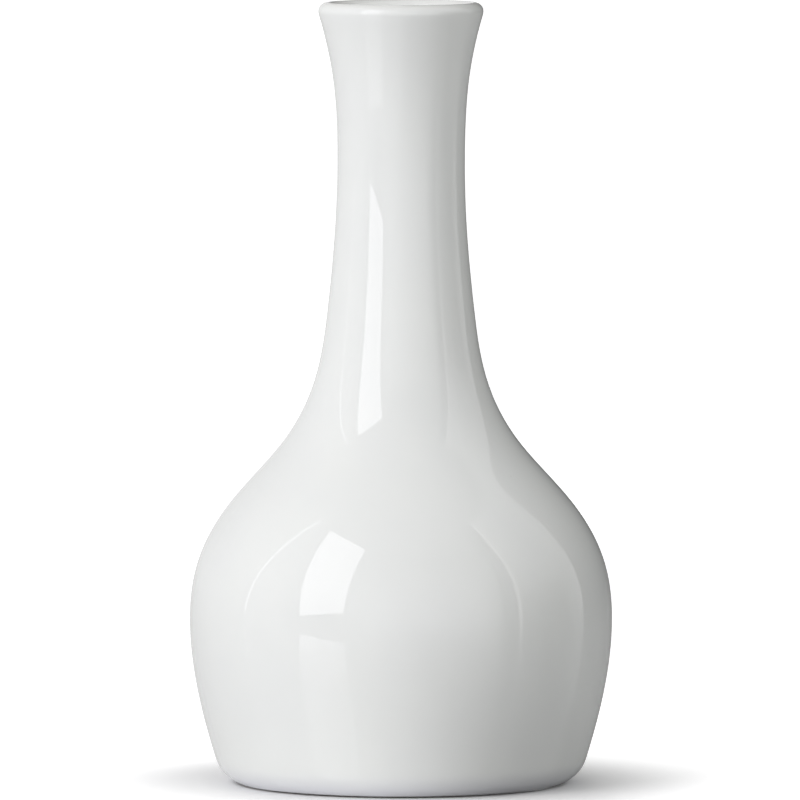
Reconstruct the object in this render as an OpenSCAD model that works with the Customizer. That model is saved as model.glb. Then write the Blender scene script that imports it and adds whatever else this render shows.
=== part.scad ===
// Bud vase: a slip-cast porcelain bottle with a round belly, a long neck and a flared mouth.
// It is one fired clay body with three separate coats of glaze fused to it. The standing ring is bare.
// Millimetres, +Z up. The origin is on the vase's axis, on the surface that it stands on.

/* [Overall] */
// Height from the table to the top of the lip
vase_h = 150; // [148:0.5:155]

/* [Foot] */
// Radius of the outer edge of the standing ring
foot_r = 29; // [28:0.1:30]
// Width of the flat face of the standing ring
foot_w = 2.4; // [2:0.1:4]
// Radius of the rounded heel of the clay, between the standing ring and the side
heel_round = 6.7; // [6:0.1:7.5]
// Slope of the side where it leaves the heel, in degrees above the table
side_angle = 73; // [70:1:76]
// Depth of the hollow under the base, next to the standing ring
recess_h = 1.4; // [1:0.1:2]
// Extra depth of that hollow at the middle of the base
recess_dome = 0.5; // [0:0.1:1]

/* [Belly] */
// Radius of the belly at its widest
belly_r = 40.6; // [39.5:0.1:41.5]
// Height of the widest part of the belly
belly_z = 31; // [29:0.5:33]
// Radius of the upper belly
upper_r = 38.6; // [38:0.1:39.2]
// Height of the upper belly
upper_z = 44; // [43:0.5:45]
// Radius at the top of the belly, where the shoulder starts
shoulder_r = 32; // [31.2:0.1:32.6]
// Height of the top of the belly
shoulder_z = 55; // [54:0.5:56]

/* [Neck] */
// Radius half way up the shoulder's slope
slope_r = 23.2; // [22.6:0.1:24]
// Height of the middle of the shoulder's slope
slope_z = 65; // [64:0.5:66]
// Radius where the slope runs out into the neck
collar_r = 17.1; // [16.6:0.1:17.6]
// Height where the slope runs out into the neck
collar_z = 76; // [75:0.5:77]
// Radius of the root of the neck
root_r = 14.1; // [13.8:0.1:14.4]
// Height of the root of the neck
root_z = 91; // [89:0.5:93]
// Radius half way up the neck
neck_r = 12.6; // [12.4:0.1:12.9]
// Height of the middle of the neck
neck_z = 107; // [105:0.5:109]
// Radius of the throat, where the neck is narrowest
throat_r = 12.2; // [12:0.1:12.4]
// Height of the throat
throat_z = 123; // [121:0.5:125]

/* [Mouth] */
// Radius half way up the flare
flare_r = 13.4; // [13.1:0.1:13.7]
// Height of the middle of the flare
flare_z = 138; // [137:0.5:139]
// Radius of the outside of the lip
lip_r = 15.8; // [15.4:0.1:16.2]
// Slope of the flare where it meets the lip, in degrees above the table
lip_angle = 74; // [70:1:80]

/* [Wall] */
// Thickness of the clay wall
clay_t = 2.9; // [2.6:0.1:3.2]
// Thickness of the clay floor, next to the hollow's edge
floor_t = 3; // [2.5:0.1:3.5]
// Height on the outside at which the inside corner springs from the wall
corner_z = 9.5; // [9:0.5:12]
// Radius of the straight bore through the throat
bore_r = 8.85; // [8.8:0.05:9.1]

/* [Glaze] */
// Thickness of each coat of glaze
glaze_t = 0.25; // [0.2:0.05:0.3]
// How far the bare clay reaches round the heel from the table, in degrees
bare_angle = 22; // [20:1:30]
// Depth inside the mouth at which the outer coat meets the inner coat
lap_depth = 4; // [3:0.5:6]

/* [Hidden] */

clay_colour = [0.88, 0.86, 0.81];
glaze_colour = [0.93, 0.94, 0.93];
circle_fn = 180;
side_step = 1.5;
heel_step = 4;
lip_step = 12;
floor_steps = 12;

// The whole wall is the clay between two coats of glaze, and the lip is rounded to half of it
wall_t = clay_t + 2 * glaze_t;
inner_clay = wall_t - glaze_t;
lip_round = wall_t / 2;
lip_centre = [lip_r - lip_round, vase_h - lip_round];
heel_centre = [foot_r, heel_round];
clay_floor_z = recess_h + floor_t;
// The hollow's edge is an outward quarter round and then an inward one, each of half its depth
edge_round = recess_h / 2;
edge_r = foot_r - foot_w - edge_round;
ceiling_r = edge_r - edge_round;

// Points on a circular arc, as [radius, height]
function arc(centre, r, from, to, step) =
    let (n = max(2, ceil(abs(to - from) / step)))
    [for (i = [0:n]) let (a = from + (to - from) * i / n) centre + r * [cos(a), sin(a)]];

function reversed(list) = [for (i = [len(list) - 1:-1:0]) list[i]];

// The outline of the glazed side passes through these stations, [radius, height] from heel to lip
side_start = heel_centre + (heel_round + glaze_t) * [sin(side_angle), -cos(side_angle)];
side_end = lip_centre + lip_round * [sin(lip_angle), -cos(lip_angle)];
stations = [
    side_start,
    [belly_r, belly_z],
    [upper_r, upper_z],
    [shoulder_r, shoulder_z],
    [slope_r, slope_z],
    [collar_r, collar_z],
    [root_r, root_z],
    [neck_r, neck_z],
    [throat_r, throat_z],
    [flare_r, flare_z],
    side_end
];
last = len(stations) - 1;
start_slope = 1 / tan(side_angle);
end_slope = 1 / tan(lip_angle);

// Between stations the radius is a cubic in height. The slopes at the stations are the ones that
// leave no jump in curvature, which is the usual three-term system, swept up and then back down.
gap = [for (i = [0:last - 1]) stations[i + 1][1] - stations[i][1]];
rise = [for (i = [0:last - 1]) (stations[i + 1][0] - stations[i][0]) / gap[i]];
function swept(i) =
    i == 0 ? [0, start_slope] :
    let (
        below = swept(i - 1),
        pivot = 2 * (gap[i - 1] + gap[i]) - gap[i] * below[0],
        load = 3 * (gap[i] * rise[i - 1] + gap[i - 1] * rise[i])
    )
    [gap[i - 1] / pivot, (load - gap[i] * below[1]) / pivot];
function station_slope(i) =
    i == last ? end_slope :
    let (row = swept(i)) row[1] - row[0] * station_slope(i + 1);
slopes = [for (i = [0:last]) station_slope(i)];

function span_below(z) = max([for (i = [0:last - 1]) if (i == 0 || stations[i][1] <= z) i]);

// Radius and slope of the glazed side at height z
function side_r(z) =
    let (i = span_below(z), h = gap[i], t = (z - stations[i][1]) / h)
    (2 * t ^ 3 - 3 * t ^ 2 + 1) * stations[i][0] + (3 * t ^ 2 - 2 * t ^ 3) * stations[i + 1][0]
    + h * ((t ^ 3 - 2 * t ^ 2 + t) * slopes[i] + (t ^ 3 - t ^ 2) * slopes[i + 1]);
function side_slope(z) =
    let (i = span_below(z), h = gap[i], t = (z - stations[i][1]) / h)
    (6 * t ^ 2 - 6 * t) * (stations[i][0] - stations[i + 1][0]) / h
    + (3 * t ^ 2 - 4 * t + 1) * slopes[i] + (3 * t ^ 2 - 2 * t) * slopes[i + 1];

// The unit direction from the glazed side into the wall, and the point that far in from it
function inward(z) = let (s = side_slope(z)) [-1, s] / sqrt(1 + s ^ 2);
function side_point(z, depth) = [side_r(z), z] + depth * inward(z);

// The side at a depth into the wall, between two heights on the outside
function side(depth, from, to) =
    let (n = ceil((to - from) / side_step))
    [for (i = [0:n]) side_point(from + (to - from) * i / n, depth)];

// The inside of the neck is never narrower than its bore
function bored(points, r) = [for (p = points) [max(p[0], r), p[1]]];

start_z = side_start[1];
end_z = side_end[1];
lap_z = end_z - lap_depth;

function heel(r, from, to) = arc(heel_centre, r, from - 90, to - 90, heel_step);
function lip(r) = arc(lip_centre, r, lip_angle - 90, lip_angle + 90, lip_step);

// The inside corner is an arc that runs from the wall down into the flat floor
corner_foot = side_point(corner_z, inner_clay);
corner_turn = inward(corner_z);
corner_round = (corner_foot[1] - clay_floor_z) / (1 - corner_turn[1]);
corner_centre = corner_foot + corner_round * corner_turn;
corner_from = atan2(-corner_turn[1], -corner_turn[0]);
function corner(r) = arc(corner_centre, r, corner_from, -90, heel_step);

// The floor's underside, from the hollow's edge to the axis, raised in the middle
function ceiling(drop) =
    [for (i = [0:floor_steps])
        let (r = ceiling_r * (1 - i / floor_steps))
        [r, recess_h - drop + recess_dome * (1 + cos(180 * r / ceiling_r)) / 2]];
function ceiling_edge(r) = arc([ceiling_r, edge_round], r, 0, 90, lip_step);
foot_edge = arc([edge_r + edge_round, edge_round], edge_round, -90, -180, lip_step);

// Outer and inner faces of the clay, each from the bottom up
clay_outside = concat(heel(heel_round, 0, side_angle), side(glaze_t, start_z, end_z));
clay_inside = bored(side(inner_clay, corner_z, end_z), bore_r + glaze_t);
clay_well = concat(reversed(corner(corner_round)), clay_inside);

module turned(points) {
    rotate_extrude($fn = circle_fn) polygon(points);
}

// The fired clay: a bottle-shaped shell with a floor and a bare standing ring
module clay_body() {
    color(clay_colour)
    turned(concat(
        clay_outside,
        lip(lip_round - glaze_t),
        reversed(clay_well),
        [[0, clay_floor_z]],
        reversed(ceiling(0)),
        reversed(ceiling_edge(edge_round)),
        reversed(foot_edge)
    ));
}

// The outer coat, from the bare heel up over the lip and a little way down inside the mouth
module outer_glaze() {
    color(glaze_colour)
    turned(concat(
        heel(heel_round + glaze_t, bare_angle, side_angle),
        side(0, start_z, end_z),
        lip(lip_round),
        reversed(side(wall_t, lap_z, end_z)),
        side(inner_clay, lap_z, end_z),
        reversed(lip(lip_round - glaze_t)),
        reversed(side(glaze_t, start_z, end_z)),
        reversed(heel(heel_round, bare_angle, side_angle))
    ));
}

// The inner coat, which lines the neck, the well and the floor
module inner_glaze() {
    color(glaze_colour)
    turned(concat(
        [[0, clay_floor_z]],
        reversed(corner(corner_round)),
        bored(side(inner_clay, corner_z, lap_z), bore_r + glaze_t),
        reversed(bored(side(wall_t, corner_z, lap_z), bore_r)),
        corner(corner_round - glaze_t),
        [[0, clay_floor_z + glaze_t]]
    ));
}

// The coat on the floor's underside, inside the standing ring
module base_glaze() {
    color(glaze_colour)
    turned(concat(
        reversed(ceiling(0)),
        reversed(ceiling_edge(edge_round)),
        ceiling_edge(edge_round - glaze_t),
        ceiling(glaze_t)
    ));
}

clay_body();
outer_glaze();
inner_glaze();
base_glaze();
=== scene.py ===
import math

import bpy
import numpy as np
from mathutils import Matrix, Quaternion, Vector


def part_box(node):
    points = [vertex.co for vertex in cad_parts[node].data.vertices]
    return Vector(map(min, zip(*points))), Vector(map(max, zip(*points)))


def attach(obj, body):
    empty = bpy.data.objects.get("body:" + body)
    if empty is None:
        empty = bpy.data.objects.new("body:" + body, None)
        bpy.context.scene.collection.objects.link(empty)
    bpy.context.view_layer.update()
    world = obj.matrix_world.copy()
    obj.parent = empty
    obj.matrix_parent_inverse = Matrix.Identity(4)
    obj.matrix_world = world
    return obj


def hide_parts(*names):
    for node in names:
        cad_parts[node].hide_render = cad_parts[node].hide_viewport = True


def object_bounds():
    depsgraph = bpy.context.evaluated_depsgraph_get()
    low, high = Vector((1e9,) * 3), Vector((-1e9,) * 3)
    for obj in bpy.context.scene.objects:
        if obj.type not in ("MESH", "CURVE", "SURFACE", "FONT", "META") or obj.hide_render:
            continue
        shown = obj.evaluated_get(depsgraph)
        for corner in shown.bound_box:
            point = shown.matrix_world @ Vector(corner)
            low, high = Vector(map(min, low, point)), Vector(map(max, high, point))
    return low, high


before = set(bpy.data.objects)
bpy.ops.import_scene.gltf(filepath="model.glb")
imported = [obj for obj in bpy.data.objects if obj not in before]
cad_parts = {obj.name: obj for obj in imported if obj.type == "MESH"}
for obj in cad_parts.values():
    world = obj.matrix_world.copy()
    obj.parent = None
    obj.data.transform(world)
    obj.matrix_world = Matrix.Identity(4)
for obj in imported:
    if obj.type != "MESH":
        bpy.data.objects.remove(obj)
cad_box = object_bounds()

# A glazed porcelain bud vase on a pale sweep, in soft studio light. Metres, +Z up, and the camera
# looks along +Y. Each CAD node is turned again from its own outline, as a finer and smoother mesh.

MM = 0.001
TWO_PI = 2 * math.pi
WHITE = (1, 1, 1, 1)
VASE_H = cad_box[1].z

# How finely the outlines are turned: steps round the axis, the longest step along an outline, and
# the turn above which a corner stays sharp. A flat disc gets points this far apart on its radius.
SEGMENTS = 180
LONGEST_STEP = 0.9 * MM
SHARP_TURN = math.radians(24)
DISC_STEP = 1.5 * MM
# Outlines are matched on whole tenths of a micron, and a point nearer the axis than this is on it
GRID = 1e7
ON_AXIS = 1e-9

# A cast and fired pot is never quite round. Slow waves in its radius: height of the wave, lobes
# round the axis, height on the axis of one turn of the wave, and phase. They fade out at the foot.
WAVES = (
    (0.050 * MM, 2, 140 * MM, 0.4),
    (0.030 * MM, 3, 75 * MM, 2.1),
    (0.016 * MM, 1, 38 * MM, 4.0),
)
WAVE_FADE = 14 * MM

# The outer coat's lower edge was wiped by hand, so it wanders along the heel. Waves of the wander:
# distance, lobes round the axis, and phase. The coat is carried along up to EDGE_REACH away.
EDGE_WANDER = (
    (0.16 * MM, 2, 0.3),
    (0.10 * MM, 5, 1.9),
    (0.06 * MM, 11, 4.4),
)
EDGE_REACH = 4 * MM
# That edge ends in a soft roll with a slight bead behind it. Past the roll, the outline's own points
# start again ROLL_CLEARANCE of its lengths from the edge. EDGE_HEIGHT and BEAD_SWELL are shares of
# the coat's thickness: what is left of it at the very edge, and what the bead adds.
ROLL_LENGTH = 0.30 * MM
ROLL_STEPS = 6
ROLL_CLEARANCE = 1.2
EDGE_HEIGHT = 0.15
BEAD_SWELL = 0.22
BEAD_AT = 0.55 * MM
BEAD_WIDTH = 0.45 * MM


# ------------------------------------------------------------------------------- outlines

def to_axis(point):
    """Points from the end of an outline to the axis, across the flat disc that it stops at."""
    count = math.ceil(point[0] / DISC_STEP)
    radii = np.linspace(point[0], 0, count + 1)[1:]
    return np.stack([radii, np.full(count, point[1])], axis=1)


def cad_outline(node):
    """The CAD node's outline as (radius, height) points in order, and whether it is a loop.

    It is read off the node's mesh, on the half-plane y = 0, x > 0. The outline of a solid that
    reaches the axis isn't a loop: it runs from the axis to the axis."""
    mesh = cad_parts[node].data
    on_plane = {}
    for v in mesh.vertices:
        x, y, z = (round(c * GRID) for c in v.co)
        if y == 0 and x >= 0:
            on_plane[v.index] = (x, z)
    near = {}
    for edge in mesh.edges:
        a, b = (on_plane.get(i) for i in edge.vertices)
        if a and b and a != b:
            near.setdefault(a, set()).add(b)
            near.setdefault(b, set()).add(a)
    ends = sorted(p for p, others in near.items() if len(others) == 1)
    here = ends[0] if ends else min(near)
    path = [here]
    while True:
        onward = sorted(p for p in near[here] if p not in path[-2:] and p != path[0])
        if not onward:
            break
        here = onward[0]
        path.append(here)
    outline = np.array(path, float) / GRID
    if ends:
        outline = np.vstack([to_axis(outline[0])[::-1], outline, to_axis(outline[-1])])
    return outline, not ends


def runs_between_corners(points, loop):
    """The outline cut at its sharp corners, as runs of points that each share their ends."""
    steps = np.roll(points, -1, axis=0) - points
    angle = np.arctan2(steps[:, 1], steps[:, 0])
    turn = np.abs((angle - np.roll(angle, 1) + math.pi) % TWO_PI - math.pi)
    corners = np.flatnonzero(turn > SHARP_TURN)
    if loop:
        points = np.roll(points, -corners[0], axis=0)
        points = np.vstack([points, points[:1]])
        corners = corners - corners[0]
    marks = sorted({0, *corners, len(points) - 1})
    return [points[a:b + 1] for a, b in zip(marks, marks[1:])]


def smoothed(run):
    """A smooth curve through a run of points, with steps no longer than LONGEST_STEP."""
    if len(run) < 3:
        return run
    step = np.diff(run, axis=0)
    gap = np.linalg.norm(step, axis=1)[:, None]
    slope = step / gap
    tangent = np.empty_like(run)
    tangent[1:-1] = (gap[1:] * slope[:-1] + gap[:-1] * slope[1:]) / (gap[:-1] + gap[1:])
    tangent[0] = 2 * slope[0] - tangent[1]
    tangent[-1] = 2 * slope[-1] - tangent[-2]
    made = [run[:1]]
    for i, h in enumerate(gap[:, 0]):
        n = math.ceil(h / LONGEST_STEP)
        t = (np.arange(1, n + 1) / n)[:, None]
        made.append(
            (2 * t**3 - 3 * t**2 + 1) * run[i] + (3 * t**2 - 2 * t**3) * run[i + 1]
            + h * ((t**3 - 2 * t**2 + t) * tangent[i] + (t**3 - t**2) * tangent[i + 1])
        )
    return np.vstack(made)


# --------------------------------------------------------------------------- turned meshes

def smooth_step(x):
    x = np.clip(x, 0, 1)
    return x * x * (3 - 2 * x)


def out_of_round(angle, z):
    """How far the pot's radius differs from a true circle's at an angle and a height."""
    total = sum(a * np.cos(lobes * angle + TWO_PI * z / turn + phase)
                for a, lobes, turn, phase in WAVES)
    return total * smooth_step(z / WAVE_FADE)


def edge_slide(angle):
    """How far the wiped edge has wandered along the heel at an angle."""
    return sum(a * np.sin(lobes * angle + phase) for a, lobes, phase in EDGE_WANDER)


def turned(name, runs, loop, slides=None):
    """A closed, smooth mesh turned from the runs of an outline. Rings between runs stay sharp.

    slides holds, for each point of the outline, the way that the wiped edge carries it."""
    joined = [run[:-1] for run in runs]
    if not loop:
        joined[-1] = runs[-1]
    outline = np.vstack(joined)
    if slides is None:
        slides = np.zeros_like(outline)
    starts = np.cumsum([0] + [len(run) for run in joined[:-1]])
    sharp = starts if loop else starts[1:]

    count = len(outline)
    on_axis = outline[:, 0] < ON_AXIS
    first = np.r_[0, np.cumsum(np.where(on_axis, 1, SEGMENTS))]
    angles = np.arange(SEGMENTS) * TWO_PI / SEGMENTS
    verts = []
    for point, way, pole in zip(outline, slides, on_axis):
        turn = angles[:1] if pole else angles
        slid = point + np.outer(edge_slide(turn), way)
        radius = 0 if pole else slid[:, 0] + out_of_round(turn, slid[:, 1])
        verts.append(np.stack([radius * np.cos(turn), radius * np.sin(turn), slid[:, 1]], 1))

    here = np.arange(SEGMENTS)
    along = (here + 1) % SEGMENTS

    def corners(ring, *columns):
        """A ring's share of the corners of each face. A pole gives one, which they all have."""
        if on_axis[ring]:
            return [np.full(SEGMENTS, first[ring])]
        return [first[ring] + column for column in columns]

    faces = []
    for i in range(count if loop else count - 1):
        low = corners(i, here, along)
        high = corners((i + 1) % count, along, here)
        faces += np.stack(low + high, 1).tolist()

    mesh = bpy.data.meshes.new(name)
    mesh.from_pydata(np.vstack(verts).tolist(), [], faces)
    mesh.shade_smooth()
    ends = np.empty(len(mesh.edges) * 2, int)
    mesh.edges.foreach_get("vertices", ends)
    rings = np.searchsorted(first, ends.reshape(-1, 2), side="right") - 1
    is_sharp = (rings[:, 0] == rings[:, 1]) & np.isin(rings[:, 0], sharp)
    marks = mesh.attributes.new("sharp_edge", "BOOLEAN", "EDGE")
    marks.data.foreach_set("value", is_sharp)
    if signed_volume(mesh) < 0:
        mesh.flip_normals()
    piece = bpy.data.objects.new(name, mesh)
    bpy.context.scene.collection.objects.link(piece)
    return piece


def signed_volume(mesh):
    """The mesh's volume, which is negative if its faces point inwards."""
    co = np.empty(len(mesh.vertices) * 3)
    mesh.vertices.foreach_get("co", co)
    mesh.calc_loop_triangles()
    corner = np.empty(len(mesh.loop_triangles) * 3, int)
    mesh.loop_triangles.foreach_get("vertices", corner)
    a, b, c = co.reshape(-1, 3)[corner].reshape(-1, 3, 3).transpose(1, 0, 2)
    return np.einsum("ij,ij->", a, np.cross(b, c)) / 6


def refined_outline(node):
    """The runs of a CAD node's outline, smoothed. No curve swings below the table."""
    points, loop = cad_outline(node)
    runs = [smoothed(run) for run in runs_between_corners(points, loop)]
    return [np.maximum(run, 0) for run in runs], loop


def rolled_edge(runs):
    """Gives the outer coat's lower edge a soft roll and a slight bead, as wiped glaze has.

    Returns the runs, and for each point of the outline the way that the edge's wander moves it."""
    end_face = min(range(len(runs)), key=lambda i: runs[i][:, 1].mean())
    runs = runs[end_face:] + runs[:end_face]
    if runs[1][0, 0] < runs[-1][-1, 0]:
        runs = [run[::-1] for run in [runs[0], *reversed(runs[1:])]]
    face, outside, inside = runs[0], runs[1], runs[-1]
    thickness = np.linalg.norm(face[-1] - face[0])

    # extra points close to the edge, where the roll is
    along = np.r_[0, np.cumsum(np.linalg.norm(np.diff(outside, axis=0), axis=1))]
    close = ROLL_LENGTH * (np.arange(ROLL_STEPS + 1) / ROLL_STEPS) ** 2
    at = np.unique(np.r_[close, along[along > ROLL_LENGTH * ROLL_CLEARANCE]])
    outside = np.stack([np.interp(at, along, outside[:, k]) for k in (0, 1)], axis=1)
    direction = np.gradient(outside, at, axis=0)
    direction /= np.linalg.norm(direction, axis=1)[:, None]
    inward = np.stack([-direction[:, 1], direction[:, 0]], axis=1)
    roll = np.sqrt(np.clip(1 - (1 - at / ROLL_LENGTH) ** 2, 0, 1))
    roll[at > ROLL_LENGTH] = 1
    bead = BEAD_SWELL * np.exp(-(((at - BEAD_AT) / BEAD_WIDTH) ** 2)) * roll
    height = np.maximum(roll, EDGE_HEIGHT) + bead
    outside = outside + inward * (thickness * (1 - height))[:, None]
    face = np.array([face[0], outside[0]])

    runs = [face, outside, *runs[2:-1], inside]
    outline = np.vstack([run[:-1] for run in runs])
    tangent = np.gradient(outline, axis=0)
    tangent /= np.linalg.norm(tangent, axis=1)[:, None]
    up = np.where(tangent[:, 1:] < 0, -tangent, tangent)
    from_edge = np.linalg.norm(outline - face[0], axis=1)
    up[0] = up[-1]
    up[1] = up[2]
    return runs, up * (1 - smooth_step(from_edge / EDGE_REACH))[:, None]


# ------------------------------------------------------------------------------ materials

# The glaze's colour where it is clear and where it is cloudy, and the least and most of its
# roughness. A share, below, is how much of a colour shows at the most.
GLAZE_CLEAR = (0.835, 0.85, 0.826, 1)
GLAZE_CLOUDY = (0.82, 0.835, 0.816, 1)
BASE_GLAZE_CLEAR = (0.82, 0.83, 0.82, 1)
BASE_GLAZE_CLOUDY = (0.79, 0.81, 0.80, 1)
GLAZE_ROUGHNESS = (0.018, 0.045)
GLAZE_IOR = 1.46
CLOUD_SIZE = 22 * MM
PATCH_SIZE = 9 * MM
# Over the lip it thins, between these two depths below the top, and the clay warms it
THIN_GLAZE = (0.80, 0.775, 0.735, 1)
THIN_SHARE = 0.35
THIN_STARTS = 1.1 * MM
THINNEST = 0.1 * MM
# Where it pools it is cooler, and painted lighter as well, a painted light that stands in for bluish
# light bounced from the floor onto the heel, up to this height above its lower edge
POOLED_GLAZE_AND_BOUNCE_LIGHT = (0.84, 0.85, 0.89, 1)
POOL_AND_BOUNCE_SHARE = 0.8
POOL_AND_BOUNCE_HEIGHT = 5 * MM
# Iron specks, which are pinholes too: one at most in each cell of this size. Of each cell's random
# number from 0 to 1, a speck starts to show at the first of SPECK_CHANCE and is full at the second.
# It is full within the first of SPECK_REACH, a share of the cell, and gone at the second.
SPECK = (0.33, 0.29, 0.24, 1)
SPECK_SHARE = 0.30
SPECK_CELL = 7 * MM
SPECK_CHANCE = (0.86, 0.90)
SPECK_REACH = (0.010, 0.022)
PINHOLE_DEPTH = 0.010 * MM
# The slow ripple of the coat and its fine orange peel
RIPPLE_SIZE = 9 * MM
RIPPLE_DEPTH = 0.014 * MM
PEEL_SIZE = 1.6 * MM
PEEL_DEPTH = 0.0014 * MM

# The bare clay has a fine grain and pores
PORCELAIN_DARK = (0.66, 0.615, 0.545, 1)
PORCELAIN_LIGHT = (0.77, 0.735, 0.67, 1)
PORCELAIN_ROUGHNESS = (0.93, 0.74)
PORCELAIN_IOR = 1.5
GRAIN_SIZE = 0.35 * MM
GRAIN_DEPTH = 0.012 * MM
PORE_SIZE = 0.5 * MM
PORE_DEPTH = 0.008 * MM
# The grey wear on its ring is full up to the first of these two heights above the table, and gone
# at the second
WEAR = (0.40, 0.385, 0.36, 1)
WEAR_SHARE = 0.5
WEAR_SIZE = 3.2 * MM
WEAR_FULL = 0.02 * MM
WEAR_GONE = 0.35 * MM


def node_maker(tree):
    """A function that adds a node to a tree, with its settings and with values or links in it."""
    def add(kind, inputs=None, **settings):
        node = tree.nodes.new("ShaderNode" + kind)
        for key, value in settings.items():
            setattr(node, key, value)
        for key, value in (inputs or {}).items():
            if isinstance(value, bpy.types.NodeSocket):
                tree.links.new(value, node.inputs[key])
            else:
                node.inputs[key].default_value = value
        return node

    return add


def new_material(name):
    """A new Principled material, its shader, and functions that add a node to it and a link."""
    material = bpy.data.materials.new(name)
    material.use_nodes = True
    tree = material.node_tree
    return material, tree.nodes["Principled BSDF"], node_maker(tree), tree.links.new


def noise(add, place, size, detail=2.0, rough=0.5):
    """A noise texture whose features are about size metres across."""
    node = add("TexNoise", {
        "Vector": place, "Scale": 1 / size, "Detail": detail, "Roughness": rough,
    })
    return node.outputs["Fac"]


def mapped(add, value, from_low, from_high, to_low, to_high):
    """value carried from one range to another, smoothly and without going past the ends."""
    node = add("MapRange", {
        "Value": value, "From Min": from_low, "From Max": from_high,
        "To Min": to_low, "To Max": to_high,
    }, interpolation_type="SMOOTHSTEP")
    return node.outputs["Result"]


def mixed(add, factor, first, second):
    """A colour between two colours or colour sockets."""
    return add("Mix", {0: factor, 6: first, 7: second}, data_type="RGBA").outputs[2]


def blended(add, factor, first, second):
    """A number between two numbers or sockets."""
    return add("Mix", {0: factor, 2: first, 3: second}, data_type="FLOAT").outputs[0]


def bumped(add, height, depth, normal=None):
    """A bump of that depth in metres, on top of another."""
    inputs = {"Height": height, "Distance": depth, "Strength": 1.0}
    if normal is not None:
        inputs["Normal"] = normal
    return add("Bump", inputs).outputs["Normal"]


def glaze(name, clear, cloudy, lower_edge_at=None):
    """Clear gloss glaze over white porcelain.

    It clouds a little from place to place, and thins over the lip. Above the height given for its
    lower edge it pools: cooler, and painted lighter there, standing in for light bounced from the
    floor. There are a few faint iron specks and pinholes in it."""
    material, shader, add, link = new_material(name)
    place = add("TexCoord").outputs["Object"]
    height = add("SeparateXYZ", {"Vector": place}).outputs["Z"]

    clouds = noise(add, place, CLOUD_SIZE, detail=3)
    colour = mixed(add, mapped(add, clouds, 0.35, 0.68, 0, 1), clear, cloudy)
    thin = mapped(add, height, VASE_H - THIN_STARTS, VASE_H - THINNEST, 0, THIN_SHARE)
    colour = mixed(add, thin, colour, THIN_GLAZE)
    if lower_edge_at is not None:
        # Painted light: near the lower edge the glaze is made lighter and bluish, partly real
        # pooling and partly standing in for floor bounce
        pooled_and_lit = mapped(add, height, lower_edge_at, lower_edge_at + POOL_AND_BOUNCE_HEIGHT, POOL_AND_BOUNCE_SHARE, 0)
        colour = mixed(add, pooled_and_lit, colour, POOLED_GLAZE_AND_BOUNCE_LIGHT)

    cells = add("TexVoronoi", {"Vector": place, "Scale": 1 / SPECK_CELL, "Randomness": 1.0})
    chosen = add("SeparateColor", {"Color": cells.outputs["Color"]}).outputs["Red"]
    rare = mapped(add, chosen, *SPECK_CHANCE, 0, 1)
    dot = mapped(add, cells.outputs["Distance"], *SPECK_REACH, 1, 0)
    speck = add("Math", {0: rare, 1: dot}, operation="MULTIPLY").outputs[0]
    faint = add("Math", {0: speck, 1: SPECK_SHARE}, operation="MULTIPLY").outputs[0]
    link(mixed(add, faint, colour, SPECK), shader.inputs["Base Color"])

    patches = noise(add, place, PATCH_SIZE, detail=4, rough=0.6)
    link(mapped(add, patches, 0.3, 0.75, *GLAZE_ROUGHNESS), shader.inputs["Roughness"])

    ripple = bumped(add, noise(add, place, RIPPLE_SIZE, detail=1), RIPPLE_DEPTH)
    peel = bumped(add, noise(add, place, PEEL_SIZE, detail=2), PEEL_DEPTH, ripple)
    unmarked = add("Math", {0: 1.0, 1: speck}, operation="SUBTRACT").outputs[0]
    link(bumped(add, unmarked, PINHOLE_DEPTH, peel), shader.inputs["Normal"])
    shader.inputs["IOR"].default_value = GLAZE_IOR
    return material


def bare_porcelain():
    """The wiped and ground standing ring: matt, faintly warm and finely grained, with a little
    grey wear where it has stood."""
    material, shader, add, link = new_material("bare_porcelain_mat")
    place = add("TexCoord").outputs["Object"]
    height = add("SeparateXYZ", {"Vector": place}).outputs["Z"]

    grain = noise(add, place, GRAIN_SIZE, detail=4, rough=0.7)
    colour = mixed(add, mapped(add, grain, 0.3, 0.7, 0, 1), PORCELAIN_DARK, PORCELAIN_LIGHT)
    patches = noise(add, place, WEAR_SIZE, detail=4, rough=0.65)
    smudges = mapped(add, patches, 0.48, 0.66, 0, WEAR_SHARE)
    touching = mapped(add, height, WEAR_FULL, WEAR_GONE, 1, 0)
    worn = add("Math", {0: smudges, 1: touching}, operation="MULTIPLY").outputs[0]
    link(mixed(add, worn, colour, WEAR), shader.inputs["Base Color"])

    link(mapped(add, grain, 0.3, 0.7, *PORCELAIN_ROUGHNESS), shader.inputs["Roughness"])
    pores = add("TexVoronoi", {"Vector": place, "Scale": 1 / PORE_SIZE}).outputs["Distance"]
    fine = bumped(add, grain, GRAIN_DEPTH)
    pitted = bumped(add, mapped(add, pores, 0, 0.25, 0, 1), PORE_DEPTH, fine)
    link(pitted, shader.inputs["Normal"])
    shader.inputs["IOR"].default_value = PORCELAIN_IOR
    return material


# --------------------------------------------------------------------------------- pieces

def fitted(piece, node, material):
    """piece takes the place of a CAD node."""
    piece.data.materials.append(material)
    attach(piece, "root")
    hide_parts(node)


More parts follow.
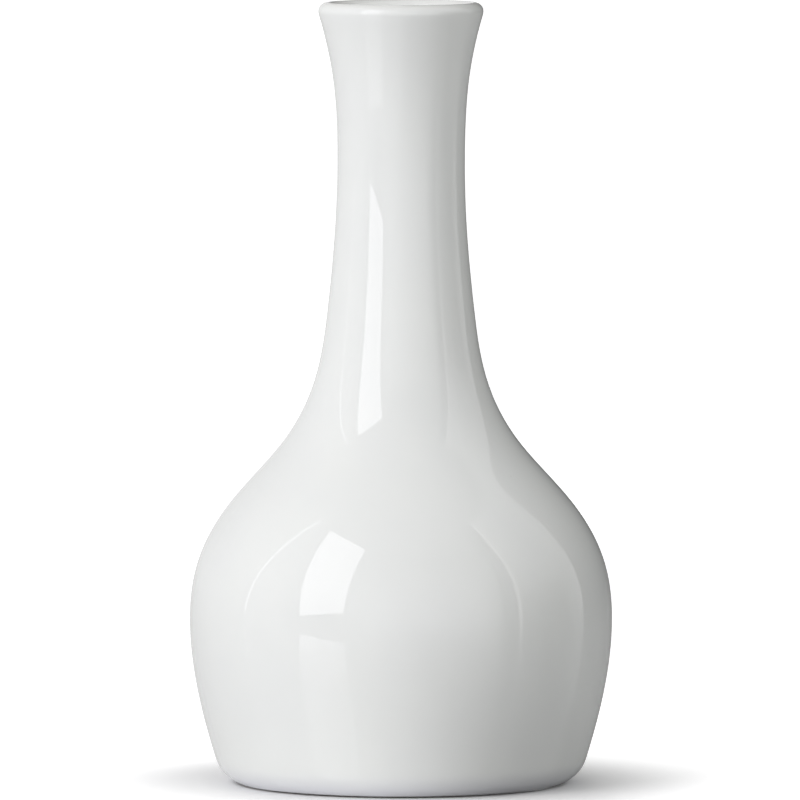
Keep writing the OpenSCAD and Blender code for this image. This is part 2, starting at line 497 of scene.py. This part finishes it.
def make_pieces():
    runs, loop = refined_outline("clay_body")
    body = turned("porcelain_body", runs, loop)
    fitted(body, "clay_body", bare_porcelain())

    runs, loop = refined_outline("outer_glaze")
    runs, slides = rolled_edge(runs)
    outside = turned("glaze_outside", runs, loop, slides)
    coat = glaze("glaze_outside_mat", GLAZE_CLEAR, GLAZE_CLOUDY,
                 lower_edge_at=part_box("outer_glaze")[0].z)
    fitted(outside, "outer_glaze", coat)

    runs, loop = refined_outline("inner_glaze")
    inside = turned("glaze_inside", runs, loop)
    coat = glaze("glaze_inside_mat", GLAZE_CLEAR, GLAZE_CLOUDY,
                 lower_edge_at=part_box("inner_glaze")[0].z)
    fitted(inside, "inner_glaze", coat)

    runs, loop = refined_outline("base_glaze")
    under = turned("glaze_under_base", runs, loop)
    coat = glaze("glaze_base_mat", BASE_GLAZE_CLEAR, BASE_GLAZE_CLOUDY)
    fitted(under, "base_glaze", coat)


# ---------------------------------------------------------------------------------- floor

FLOOR_SIZE = 20.0
# The pale floor glows a little to the camera, less and less towards the vase, so that it runs
# into the white of the room. The distances are from the vase's axis.
GLOW_FROM = 0.026
GLOW_TO = 0.07
FLOOR_GLOW = 0.65
FLOOR_COLOUR = (0.82, 0.82, 0.82, 1)
FLOOR_IOR = 2.2
# In the vase's reflections and to the light, painted shade darkens the floor to the right and in
# front, as if a dark sheet lay there. Along X and along Y, it has the place where it starts and the
# place where it is darkest. To them the whole floor is polished, too. To the camera this painted
# shade isn't there and the floor is matt, so that no view shows the lights upside down in it.
PAINTED_SHADE_X = (-0.01, 0.03)
PAINTED_SHADE_Y = (0.02, -0.04)
PAINTED_SHADE_COLOUR = (0.08, 0.08, 0.08, 1)
POLISHED = 0.004
MATT = 0.5


def make_floor():
    """The plain, pale floor, which is matt to the camera."""
    half = FLOOR_SIZE / 2
    mesh = bpy.data.meshes.new("floor")
    mesh.from_pydata([(-half, -half, 0), (half, -half, 0), (half, half, 0), (-half, half, 0)], [],
                     [(0, 1, 2, 3)])
    floor = bpy.data.objects.new("floor", mesh)
    bpy.context.scene.collection.objects.link(floor)
    material, shader, add, link = new_material("floor_mat")
    place = add("TexCoord").outputs["Object"]
    to_camera = add("LightPath").outputs["Is Camera Ray"]

    distance = add("VectorMath", {0: place}, operation="LENGTH").outputs["Value"]
    glow = mapped(add, distance, GLOW_FROM, GLOW_TO, 0, FLOOR_GLOW)
    link(add("Math", {0: glow, 1: to_camera}, operation="MULTIPLY").outputs[0],
         shader.inputs["Emission Strength"])
    shader.inputs["Emission Color"].default_value = WHITE

    # Painted shade: the floor is dark to the right and in front, but only to reflections and to the
    # light
    where = add("SeparateXYZ", {"Vector": place}).outputs
    across = mapped(add, where["X"], *PAINTED_SHADE_X, 0, 1)
    forward = mapped(add, where["Y"], *PAINTED_SHADE_Y, 0, 1)
    painted_shade = add("Math", {0: across, 1: forward}, operation="MULTIPLY").outputs[0]
    colour = mixed(add, painted_shade, FLOOR_COLOUR, PAINTED_SHADE_COLOUR)
    link(mixed(add, to_camera, colour, FLOOR_COLOUR), shader.inputs["Base Color"])
    link(blended(add, to_camera, POLISHED, MATT), shader.inputs["Roughness"])
    shader.inputs["IOR"].default_value = FLOOR_IOR
    mesh.materials.append(material)


# ----------------------------------------------------------------------------------- room

# The room's walls, as the vase sees them: the light of the whole room, and then the panels that
# stand in it, each in front of the ones before it. A panel reaches from the floor up. It has the
# azimuths that it runs between, how soft its sides are, its top's elevation and how soft that is,
# all in degrees, and its radiance.
ROOM_LIGHT = 0.393
PANELS = {
    "left_wall": (-195, -68, 20, 60, 25, 0.8),
    "front_light": (-30, 56, 34, 26, 40, 1.55),
    "right_wall": (68, 178, 2.5, 57, 4, 1.02),
    "right_low": (56, 106, 18, 14, 24, 0.28),
    "right_gap": (58, 68, 2.5, 57, 4, 0.05),
    "right_edge": (68, 70, 1.2, 57, 4, 1.8),
    "rear_flag": (119, 178, 1.5, 80, 20, 0.06),
}
# The camera sees a plain white room
BACKGROUND = 1.0


def towards(azimuth, elevation):
    """A direction: azimuth 0 is towards the camera and 90 is to the right of the picture."""
    a, e = math.radians(azimuth), math.radians(elevation)
    return Vector((math.sin(a) * math.cos(e), -math.cos(a) * math.cos(e), math.sin(e)))


def make_room():
    world = bpy.data.worlds.new("room")
    world.use_nodes = True
    tree = world.node_tree
    add = node_maker(tree)

    way = add("SeparateXYZ", {"Vector": add("TexCoord").outputs["Generated"]}).outputs
    forward = add("Math", {0: way["Y"], 1: -1.0}, operation="MULTIPLY").outputs[0]
    azimuth = add("Math", {0: way["X"], 1: forward}, operation="ARCTAN2").outputs[0]
    elevation = add("Math", {0: way["Z"]}, operation="ARCSINE").outputs[0]

    def step(value, at, soft):
        """0 below an angle and 1 above it, with a soft change from one to the other."""
        low, high = math.radians(at - soft / 2), math.radians(at + soft / 2)
        return mapped(add, value, low, high, 0, 1)

    radiance = ROOM_LIGHT
    for left, right, side_soft, top, top_soft, panel_radiance in PANELS.values():
        past_left = step(azimuth, left, side_soft)
        past_right = step(azimuth, right, side_soft)
        above = step(elevation, top, top_soft)
        between = add("Math", {0: past_left, 1: past_right}, operation="SUBTRACT").outputs[0]
        below = add("Math", {0: 1.0, 1: above}, operation="SUBTRACT").outputs[0]
        share = add("Math", {0: between, 1: below}, operation="MULTIPLY").outputs[0]
        radiance = blended(add, share, radiance, panel_radiance)
    to_camera = add("LightPath").outputs["Is Camera Ray"]
    tree.links.new(blended(add, to_camera, radiance, BACKGROUND),
                   tree.nodes["Background"].inputs["Strength"])
    tree.nodes["Background"].inputs["Color"].default_value = WHITE
    bpy.context.scene.world = world


# --------------------------------------------------------------------------------- lights

# The cloth of the soft boxes is a little cooler than the room
CLOTH_COLOUR = (1.0, 0.985, 1.03)
# The middle of each soft box's cloth, the azimuth and elevation that its back points to, its roll
# in degrees, its width and height in metres, and its radiance, which is how bright the cloth looks
SOFT_BOXES = {
    "key_box": ((-0.82, -0.89, 0.73), -69, 19, 8.7, 0.70, 1.26, 3.35),
    "left_strip": ((-1.22, -0.04, 0.72), -90, 25, -12, 0.030, 1.45, 2.1),
}


def soft_box(name, centre, azimuth, elevation, roll, width, height, radiance):
    """A flat light whose back points along a direction. The camera doesn't see it."""
    data = bpy.data.lights.new(name, "AREA")
    data.shape = "RECTANGLE"
    data.size, data.size_y = width, height
    data.energy = radiance * math.pi * width * height
    data.color = CLOTH_COLOUR
    lamp = bpy.data.objects.new(name, data)
    lamp.location = centre
    lamp.rotation_mode = "QUATERNION"
    facing = towards(azimuth, elevation).to_track_quat("Z", "Y")
    lamp.rotation_quaternion = facing @ Quaternion((0, 0, 1), math.radians(roll))
    lamp.visible_camera = False
    bpy.context.scene.collection.objects.link(lamp)


def make_lights():
    make_room()
    for name, settings in SOFT_BOXES.items():
        soft_box(name, *settings)


# --------------------------------------------------------------------------------- camera

# Where the camera looks and where it stands, its lens and sensor in millimetres, and how far it
# sees in metres
AIM = Vector((-0.0002, 0, 0.0736))
CAMERA_AT = Vector((0, -2.422, 0.2474))
LENS = 569.0
SENSOR = 36
SEES_TO = 50


def make_camera():
    data = bpy.data.cameras.new("camera")
    data.lens = LENS
    data.sensor_width = SENSOR
    data.clip_end = SEES_TO
    camera = bpy.data.objects.new("camera", data)
    camera.location = CAMERA_AT
    camera.rotation_mode = "QUATERNION"
    camera.rotation_quaternion = (CAMERA_AT - AIM).to_track_quat("Z", "Y")
    bpy.context.scene.collection.objects.link(camera)
    bpy.context.scene.camera = camera


make_pieces()
make_floor()
make_lights()
make_camera()
bpy.context.scene.view_settings.view_transform = "Standard"

bpy.context.view_layer.update()
